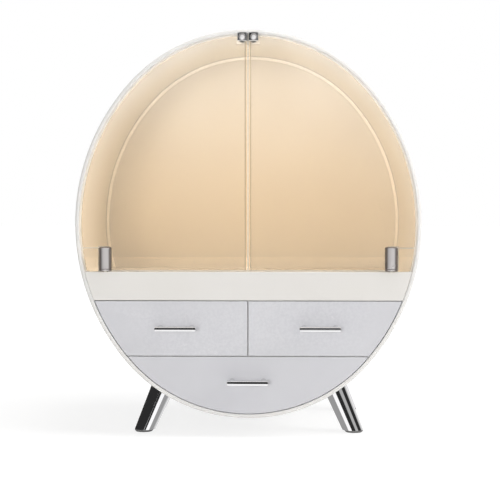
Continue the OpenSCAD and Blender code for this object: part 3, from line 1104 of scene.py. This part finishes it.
finishPair(makeBarrel(), "{}_door", satinChrome, "chrome", "{}_hinge_sleeve")


# the strike plates with their domed buttons
strike = {
    "edge": 0.0004,
    "beforeRim": 0.0003,
    "overlap": 0.0001,
    "footClear": 0.0005,
    "footEdge": 0.0002,
    "buttonDrop": 0.0044,
    "buttonRadius": 0.0029,
    "buttonRise": 0.0012,
    "buttonFoot": ((0.0002, -0.0004), (0.0002, 0.0001)),
    "buttonSteps": 48,
    "domeSteps": 10,
}


def makeStrike():
    low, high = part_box("right_strike_plate")
    rise = strike["buttonRise"]
    front = low.y + rise
    back = shellLow.y - strike["beforeRim"]
    face = block("plate", (low.x, front, low.z), (high.x, back, high.z))
    softenEdges(face, strike["edge"])
    footTop = shellHigh.z - door["inset"] - strike["footClear"]
    foot = block("foot", (low.x, back - strike["overlap"], low.z), (high.x, high.y, footTop))
    softenEdges(foot, strike["footEdge"], segments=2)
    r = strike["buttonRadius"]
    dome = (r * r + rise * rise) / (2 * rise)
    steps = strike["domeSteps"]
    angles = [math.asin(r / dome) * (1 - i / steps) for i in range(steps)]
    profile = [(r + outward, height) for outward, height in strike["buttonFoot"]]
    profile += [(dome * math.sin(angle), dome * math.cos(angle) - dome + rise) for angle in angles]
    place = ((low.x + high.x) / 2, front, high.z - strike["buttonDrop"])
    button = turned("button", profile + [(0, rise)], place, strike["buttonSteps"], alongY=True)
    face.data.materials.append(polishedChrome)
    button.data.materials.append(buttonHighlightChrome)
    return joinPieces([face, foot, button], "right-strike")


finishPair(makeStrike(), "{}_door", polishedChrome, "chrome", "{}_strike_plate")
print("hinges and strikes built")


# the legs
leg = {
    "tilt": 23,
    "footX": 0.1032,
    "rearOut": 0.001,
    "lowRadius": 0.0091,
    "highRadius": 0.0113,
    "length": 0.058,
    "belowFloor": 0.006,
    "sides": 96,
    "padHeight": 0.0022,
    "intoShell": 0.0004,
    "cutterHalf": 0.03,
    "chamfer": 0.0007,
    "chamferSegments": 4,
    "chamferAngle": 45,
}


def makeLeg(name, footX):
    low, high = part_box(name)
    y = (low.y + high.y) / 2
    deselectAll()
    bpy.ops.mesh.primitive_cone_add(
        vertices=leg["sides"], radius1=leg["lowRadius"], radius2=leg["highRadius"],
        depth=leg["length"] + leg["belowFloor"], end_fill_type="NGON",
        location=(0, 0, (leg["length"] - leg["belowFloor"]) / 2))
    piece = startPiece(name.replace("_", "-"))
    piece.rotation_euler = (0, -math.radians(leg["tilt"]), 0)
    piece.location = (footX, y, 0)
    applyPlace()
    editMode("FACE")
    bpy.ops.mesh.bisect(plane_co=(0, 0, leg["padHeight"]), plane_no=(0, 0, 1), use_fill=True,
                        clear_inner=True)
    objectMode()
    cutter = ovalPlate("legCutter", leg["intoShell"], y - leg["cutterHalf"], y + leg["cutterHalf"])
    addModifier(piece, "BOOLEAN", operation="DIFFERENCE", object=cutter)
    bpy.data.objects.remove(cutter)
    softenEdges(piece, leg["chamfer"], leg["chamferSegments"], leg["chamferAngle"])
    return piece


frontRightLeg = makeLeg("front_right_leg", leg["footX"])
rearRightLeg = makeLeg("rear_right_leg", leg["footX"] + leg["rearOut"])
frontLeftLeg = copyPiece(frontRightLeg, "front-left-leg", mirrorX=True)
rearLeftLeg = copyPiece(rearRightLeg, "rear-left-leg", mirrorX=True)
for piece in (frontRightLeg, rearRightLeg, frontLeftLeg, rearLeftLeg):
    addModifier(piece, "WEIGHTED_NORMAL", mode="FACE_AREA", weight=100, keep_sharp=True)
    finishPiece(piece, "cabinet", polishedChrome, "chrome", piece.name.replace("-", "_"))
print("legs built")


# finishes of the CAD nodes that stay
finishes = (
    (innerPlastic, ("back_panel", "back_screw_caps", "display_deck", "magnet_housing")),
    (trayPlastic, ("middle_shelf", "centre_divider", "upper_drawer_rails", "lower_drawer_rails",
                   "upper_left_drawer_tray", "upper_right_drawer_tray", "lower_drawer_tray")),
    (zincSteel, ("back_panel_screws", "left_hinge_pin", "right_hinge_pin", "catch_magnets", "leg_screws",
                 "left_strike_stud", "right_strike_stud", "upper_left_handle_screws",
                 "upper_right_handle_screws", "lower_handle_screws")),
    (padRubber, ("drawer_bumpers", "foot_pads")),
    (clearStrip, ("hinge_washers",)),
)
for material, names in finishes:
    for name in names:
        setMaterial(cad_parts[name], material)
print("finishes set")


# floor, surroundings, lamps and camera
studio = {
    "floorSize": 14,
    "floorAt": (0, 3, 0),
    "floorColour": (0.86, 0.86, 0.86),
    "floorSeenColour": (0.32, 0.32, 0.32),
    "floorRoughness": 0.9,
    "floorGlow": (0.25, 1.1, 0.78, 0.98),
    "tableExtra": 2.5,
    "ambientColour": (1.0, 0.99, 0.98),
    "ambient": 0.38,
    "panelRange": (0.0, -0.3),
    "panelExtra": 0.55,
    "reflectedDark": 0.03,
    "reflectedWhite": 1.2,
    "seamX": 0.024,
    "tableSlant": 0.42,
}
white = (1, 1, 1, 1)


def seenDirectly(tree, path):
    return math2(tree, "MAXIMUM", path.outputs["Is Camera Ray"], path.outputs["Is Transmission Ray"])


def onePlus(tree, value, factor):
    return math2(tree, "ADD", math2(tree, "MULTIPLY", value, factor), 1.0)


def makeFloor():
    deselectAll()
    bpy.ops.mesh.primitive_plane_add(size=studio["floorSize"], location=studio["floorAt"])
    floor = startPiece("floor")
    material, tree, shader = newMaterial("paleFloor", studio["floorColour"])
    setInputs(shader, {"Base Color": (*studio["floorColour"], 1), "Roughness": studio["floorRoughness"],
                       "Specular IOR Level": 0.0})
    soft = addNode(tree, "ShaderNodeBsdfDiffuse", inputs={"Color": (*studio["floorSeenColour"], 1)})
    distance = addNode(tree, "ShaderNodeVectorMath", {"operation": "LENGTH"})
    tree.links.new(objectPlace(tree), distance.inputs[0])
    glow = addNode(tree, "ShaderNodeEmission")
    path = addNode(tree, "ShaderNodeLightPath")
    # the lit table also sends light up through the doors
    extra = onePlus(tree, path.outputs["Is Transmission Ray"], studio["tableExtra"])
    level = spread(tree, distance.outputs["Value"], *studio["floorGlow"])
    tree.links.new(math2(tree, "MULTIPLY", level, extra), glow.inputs["Strength"])
    both = addNode(tree, "ShaderNodeAddShader")
    tree.links.new(soft.outputs[0], both.inputs[0])
    tree.links.new(glow.outputs[0], both.inputs[1])
    surface = mixShaders(tree, seenDirectly(tree, path), shader.outputs[0], both.outputs[0])
    tree.links.new(surface, tree.nodes["Material Output"].inputs["Surface"])
    floor.data.materials.append(material)
    floor.visible_glossy = False


# what gloss and metal mirror: a dark room with bright patches, each a range of directions. A ramp is
# an axis with the numbers that spread takes. A patch is its level times its ramps, less what its
# hood hides, and the brightest patch counts.
reflections = {
    "backdrop": {"ramps": (("y", 0.95, 0.99),)},
    "overhead": {
        "ramps": (("z", 0.62, 0.8),),
        "hood": (("fromMiddle", 0.16, 0.13), ("y", -0.05, -0.45)),
    },
    "rightPanel": {
        "level": 0.42,
        "ramps": (("x", 0.47, 0.51), ("x", 0.88, 0.84), ("y", -0.42, -0.5), ("z", -0.12, -0.04)),
    },
    "rightBack": {
        "level": 0.9,
        "ramps": (("x", 0.15, 0.3), ("y", 0.2, 0.3), ("y", 0.2, 0.9, 0.5, 0.9)),
    },
    "tableFront": {
        "ramps": (("tableSlant", -0.2, -0.24), ("y", -0.53, -0.6)),
        "hood": (("fromMiddle", 0.16, 0.13),),
    },
    "tableNear": {"ramps": (("fromMiddle", 0.16, 0.13), ("z", -0.36, -0.5))},
    "tableBelow": {"ramps": (("z", -0.7, -0.85),)},
    "tableShade": {"level": 0.3, "ramps": (("z", -0.1, -0.2), ("y", -0.58, -0.53))},
    # soft light that the sheets of the doors mirror, at their two outer edges and their top
    "sheetEdges": {
        "ramps": (("fromSeam", 0.07, 0.14), ("fromMiddle", 0.24, 0.2), ("z", -0.07, -0.04),
                  ("z", 0.18, 0.16), ("y", -0.9, -0.95)),
    },
    "sheetTop": {
        "ramps": (("fromSeam", 0.022, 0.05), ("fromMiddle", 0.24, 0.2), ("z", 0.03, 0.12),
                  ("z", 0.18, 0.16), ("y", -0.9, -0.95)),
    },
}


def rampProduct(tree, axes, ramps):
    product = 1.0
    for axis, *limits in ramps:
        product = math2(tree, "MULTIPLY", product, spread(tree, axes[axis], *limits))
    return product


def mirroredLight(tree, x, y, z):
    rightward = math2(tree, "MAXIMUM", x, 0.0)
    axes = {
        "x": x,
        "y": y,
        "z": z,
        "fromMiddle": math2(tree, "ABSOLUTE", x, 0.0),
        "fromSeam": math2(tree, "ABSOLUTE", math2(tree, "ADD", x, studio["seamX"]), 0.0),
        "tableSlant": math2(tree, "ADD", z, math2(tree, "MULTIPLY", rightward, studio["tableSlant"])),
    }
    bright = 0.0
    for patch in reflections.values():
        part = rampProduct(tree, axes, patch["ramps"])
        if "hood" in patch:
            beside = math2(tree, "SUBTRACT", 1.0, rampProduct(tree, axes, patch["hood"]))
            part = math2(tree, "MULTIPLY", part, beside)
        bright = math2(tree, "MAXIMUM", bright, math2(tree, "MULTIPLY", part, patch.get("level", 1.0)))
    lit = math2(tree, "MULTIPLY", bright, studio["reflectedWhite"])
    return math2(tree, "ADD", lit, studio["reflectedDark"])


def makeSurroundings():
    world = bpy.data.worlds.new("studio")
    bpy.context.scene.world = world
    world.use_nodes = True
    tree = world.node_tree
    ambient = tree.nodes["Background"]
    setInputs(ambient, {"Color": (*studio["ambientColour"], 1), "Strength": studio["ambient"]})
    x, y, z = splitAxes(tree, addNode(tree, "ShaderNodeTexCoord").outputs["Generated"])
    mirrored = addNode(tree, "ShaderNodeBackground", inputs={"Color": white})
    tree.links.new(mirroredLight(tree, x, y, z), mirrored.inputs["Strength"])
    path = addNode(tree, "ShaderNodeLightPath")
    unseen = mixShaders(tree, path.outputs["Is Glossy Ray"], ambient.outputs[0], mirrored.outputs[0])
    # light that reaches the case's inside through the doors comes from a big soft panel in front
    inFront = math2(tree, "MULTIPLY", path.outputs["Is Transmission Ray"],
                    spread(tree, y, *studio["panelRange"]))
    backdrop = addNode(tree, "ShaderNodeBackground", inputs={"Color": white})
    tree.links.new(onePlus(tree, inFront, studio["panelExtra"]), backdrop.inputs["Strength"])
    surface = mixShaders(tree, seenDirectly(tree, path), unseen, backdrop.outputs[0])
    tree.links.new(surface, tree.nodes["World Output"].inputs["Surface"])


lamps = {
    "frontPanel": {"at": (-0.45, -3.2, 0.25), "size": 0.9, "watts": 46},
    "rightPanel": {"at": (1.6, -0.4, 1.0), "size": 0.9, "watts": 14},
    "overhead": {"at": (0.4, -0.2, 1.9), "size": 1.0, "watts": 16},
}
lampsAim = Vector((0, 0, 0.2))


def makeLamps():
    for name, lamp in lamps.items():
        bpy.ops.object.light_add(type="AREA", location=lamp["at"])
        light = bpy.context.object
        light.name = name
        light.data.size = lamp["size"]
        light.data.energy = lamp["watts"]
        light.visible_glossy = False
        light.visible_transmission = False
        aim = lampsAim - Vector(lamp["at"])
        light.rotation_euler = aim.to_track_quat("-Z", "Y").to_euler()


view = {
    "at": (0.02904, -1.29237, 0.22605),
    "turn": 0.0225,
    "down": 0.0385,
    "focalPixels": 1263.13,
    "imagePixels": 500,
    "sensorWidth": 36,
    "clipStart": 0.01,
}


def makeCamera():
    data = bpy.data.cameras.new("camera")
    camera = bpy.data.objects.new("camera", data)
    bpy.context.scene.collection.objects.link(camera)
    camera.location = view["at"]
    camera.rotation_euler = (math.pi / 2 - view["down"], 0, view["turn"])
    data.sensor_width = view["sensorWidth"]
    data.lens = view["focalPixels"] / view["imagePixels"] * view["sensorWidth"]
    data.clip_start = view["clipStart"]
    bpy.context.scene.camera = camera


makeFloor()
makeSurroundings()
makeLamps()
makeCamera()
bpy.context.scene.view_settings.view_transform = "Standard"
print("studio ready")
